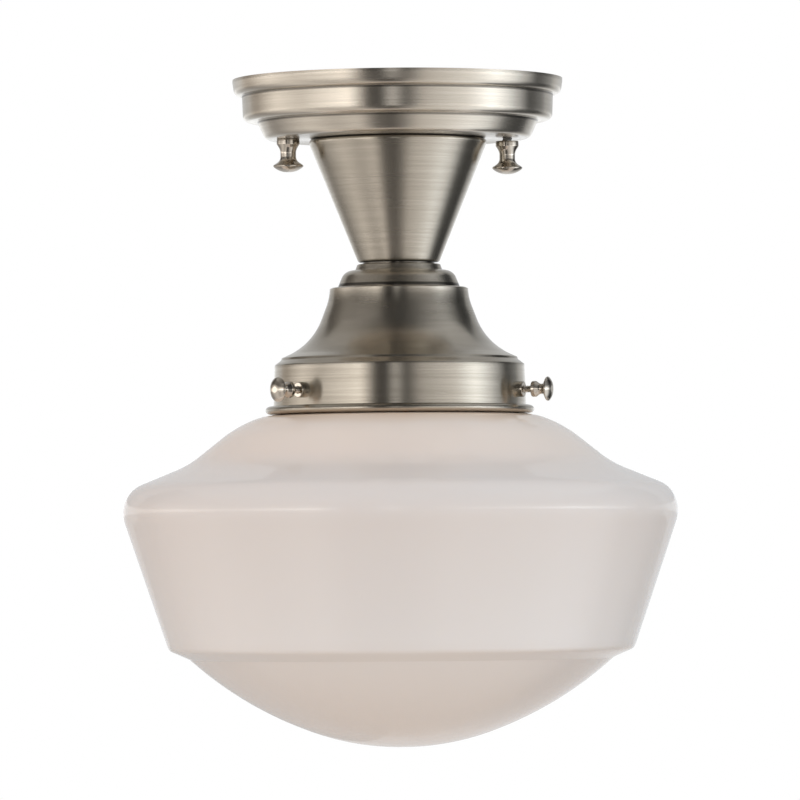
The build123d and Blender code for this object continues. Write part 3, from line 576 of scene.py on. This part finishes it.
bpy.context.scene.view_settings.view_transform = "Standard"
world = bpy.data.worlds.new("studio")
bpy.context.scene.world = world
world.use_nodes = True
sky = world.node_tree
sky_shader = sky.nodes["Background"]
sky_shader.inputs["Strength"].default_value = 1.22
rightward, _, upward = axes_of(sky, sky.nodes.new("ShaderNodeTexCoord").outputs["Generated"])
weaker_above = ramp(sky, share_between(sky, upward, -1, 1), (
    (0.5, (1.0, 1.0, 1.0)), (0.75, (0.66, 0.66, 0.67)), (1.0, (0.52, 0.52, 0.53))))
cooler_right = ramp(sky, share_between(sky, rightward, -1, 1), (
    (0.1, (1.0, 0.93, 0.88)), (0.9, (0.98, 1.04, 1.08))))
sky.links.new(product(sky, weaker_above, cooler_right), sky_shader.inputs["Color"])
rays = sky.nodes.new("ShaderNodeLightPath")
white = sky.nodes.new("ShaderNodeBackground")
seen = math_node(sky, "MAXIMUM", rays.outputs["Is Camera Ray"], math_node(
    sky, "MAXIMUM", rays.outputs["Is Glossy Ray"], rays.outputs["Is Transmission Ray"]))
mixed = sky.nodes.new("ShaderNodeMixShader")
sky.links.new(seen, mixed.inputs[0])
sky.links.new(sky_shader.outputs[0], mixed.inputs[1])
sky.links.new(white.outputs[0], mixed.inputs[2])
white.inputs["Color"].default_value = (1, 1, 1, 1)
white.inputs["Strength"].default_value = 1.0
sky.links.new(mixed.outputs[0], sky.nodes["World Output"].inputs["Surface"])

# the camera's bearing from the front in degrees, and the panels' heights and radius in metres
camera_side = -5
reflector_foot, reflector_top, reflector_radius = -0.45, 1.3, 2.0


def reflector(name, points, faces, strength, stops, rise=((0, 1),), middle=None):
    """A panel that glows towards metal and glass only, from (bearing, level, warmth) stops.

    The bearing is in degrees, from the camera's side towards the right. From its foot to its top the glow
    follows rise, of (share of the height, level) stops, and a level panel has one even colour in the middle.
    """
    panel = mesh_object(name, points, faces)
    glow = bpy.data.materials.new(name)
    glow.use_nodes = True
    tree = glow.node_tree
    tree.nodes.clear()
    place = object_place(tree)
    x, y, z = axes_of(tree, place)
    bearing = math_node(tree, "ARCTAN2", x, math_node(tree, "MULTIPLY", y, -1.0))
    glow_colour = ramp(tree, share_between(tree, bearing, -pi, pi), [
        ((angle + camera_side) / 360 + 0.5, (level, level * (1 - warmth / 2), level * (1 - warmth)))
        for angle, level, warmth in stops])
    share_up = share_between(tree, z, reflector_foot, reflector_top)
    up = ramp(tree, share_up, [(share, (level, level, level)) for share, level in rise])
    if middle:
        away = tree.nodes.new("ShaderNodeVectorMath")
        away.operation = "LENGTH"
        tree.links.new(place, away.inputs[0])
        spot = tree.nodes.new("ShaderNodeMix")
        spot.data_type = "RGBA"
        nearness = ramp(tree, away.outputs["Value"], ((0.46, (1, 1, 1)), (0.52, (0, 0, 0))))
        tree.links.new(nearness, spot.inputs["Factor"])
        tree.links.new(glow_colour, spot.inputs["A"])
        spot.inputs["B"].default_value = (*middle, 1)
        glow_colour = spot.outputs["Result"]
    light = tree.nodes.new("ShaderNodeEmission")
    tree.links.new(glow_colour, light.inputs["Color"])
    tree.links.new(math_node(tree, "MULTIPLY", up, strength), light.inputs["Strength"])
    tree.links.new(light.outputs[0], tree.nodes.new("ShaderNodeOutputMaterial").inputs["Surface"])
    panel.data.materials.append(glow)
    panel.visible_camera = panel.visible_diffuse = panel.visible_shadow = False
    panel.visible_transmission = panel.visible_volume_scatter = False


def wall(first, last, radius, steps=72):
    """Points and faces of an upright panel round the light, between two bearings."""
    bearings = np.radians(np.linspace(first, last, steps + 1) + camera_side)
    points = [(radius * sin(a), -radius * cos(a), z)
              for z in (reflector_foot, reflector_top) for a in bearings]
    return points, [(i, i + 1, i + steps + 2, i + steps + 1) for i in range(steps)]


def disc(level):
    """Points and faces of a level panel over or under the light."""
    points = [(reflector_radius * cos(a), reflector_radius * sin(a), level) for a in around]
    return points, [range(len(around))]


reflector("wall_panels", *wall(-180, 180, reflector_radius), 3.4, (
    (-178, 0.40, 0.0), (-155, 0.24, 0.1), (-126, 0.22, 0.2), (-100, 0.60, 0.12), (-75, 0.46, 0.12),
    (-46, 0.80, 0.10), (-36, 0.97, 0.10), (-22, 0.04, 0.1), (-12, 0.02, 0.1), (-4, 0.44, 0.05),
    (6, 0.03, 0.05), (20, 0.36, 0.08), (52, 0.58, 0.03), (73, 1.0, -0.06), (96, 0.40, -0.06),
    (113, 0.03, -0.04), (155, 0.22, -0.05), (178, 0.40, 0.0)), rise=(
    (0.0, 0.38), (0.125, 0.38), (0.14, 1), (0.25, 1), (0.265, 0.38), (0.36, 0.34), (0.50, 0.08), (1.0, 0.12)))
reflector("back_panels", *wall(138, 222, reflector_radius - 0.02), 1.3, (
    (-180, 1.0, -0.04), (-155, 0.64, 0.0), (-138, 0.60, 0.05), (138, 0.46, 0.0), (155, 0.62, -0.04),
    (180, 1.0, -0.04)), rise=(
    (0.0, 0.7), (0.125, 0.7), (0.14, 1), (0.25, 1), (0.27, 0.55), (1.0, 0.5)))
reflector("lower_panels", *disc(reflector_foot), 1.1, (
    (-170, 0.5, 0.0), (-128, 0.25, 0.1), (-86, 0.70, 0.12), (-60, 0.46, 0.12), (-37, 0.64, 0.12),
    (-21, 0.12, 0.1), (-5, 0.05, 0.1), (5, 0.18, 0.1), (21, 0.56, 0.1), (48, 0.74, 0.05), (72, 1.0, -0.02),
    (88, 0.84, -0.04), (107, 0.08, -0.02), (135, 0.02, 0.0), (170, 0.7, 0.0)), middle=(0.40, 0.34, 0.28))
reflector("upper_panels", *disc(reflector_top), 1.0, (
    (-175, 0.30, 0.0), (-140, 0.40, 0.05), (-100, 0.38, 0.08), (-50, 0.16, 0.1), (-5, 0.02, 0.0),
    (30, 0.10, 0.0), (65, 0.36, 0.0), (100, 0.50, 0.0), (140, 0.42, 0.0), (175, 0.30, 0.0)))

# The camera stands 2.71 m away, level with the shade, 5 degrees to the left of the knobs' line. In the rows
# and columns of an 800 x 800 picture, camera_row is the row level with it, and its frame is moved so that
# the light's axis, which would be at unmoved_column, is at axis_column.
pixel, frame_size, focal_length = 0.0004045, 800, 6700
camera_row, ceiling_row, unmoved_column, axis_column = 560, 79.6, 399.1, 400.1
camera = bpy.data.objects.new("camera", bpy.data.cameras.new("camera"))
bpy.context.scene.collection.objects.link(camera)
bpy.context.scene.camera = camera
distance, side = focal_length * pixel, radians(camera_side)
camera.location = Vector((sin(side) * distance, -cos(side) * distance, (ceiling_row - camera_row) * pixel))
camera.rotation_euler = (radians(90), radians(0.44), side)
camera.data.lens = 36.0 * focal_length / frame_size
camera.data.clip_end = 100
camera.data.shift_x = (unmoved_column - axis_column) / frame_size
camera.data.shift_y = (camera_row - frame_size / 2) / frame_size
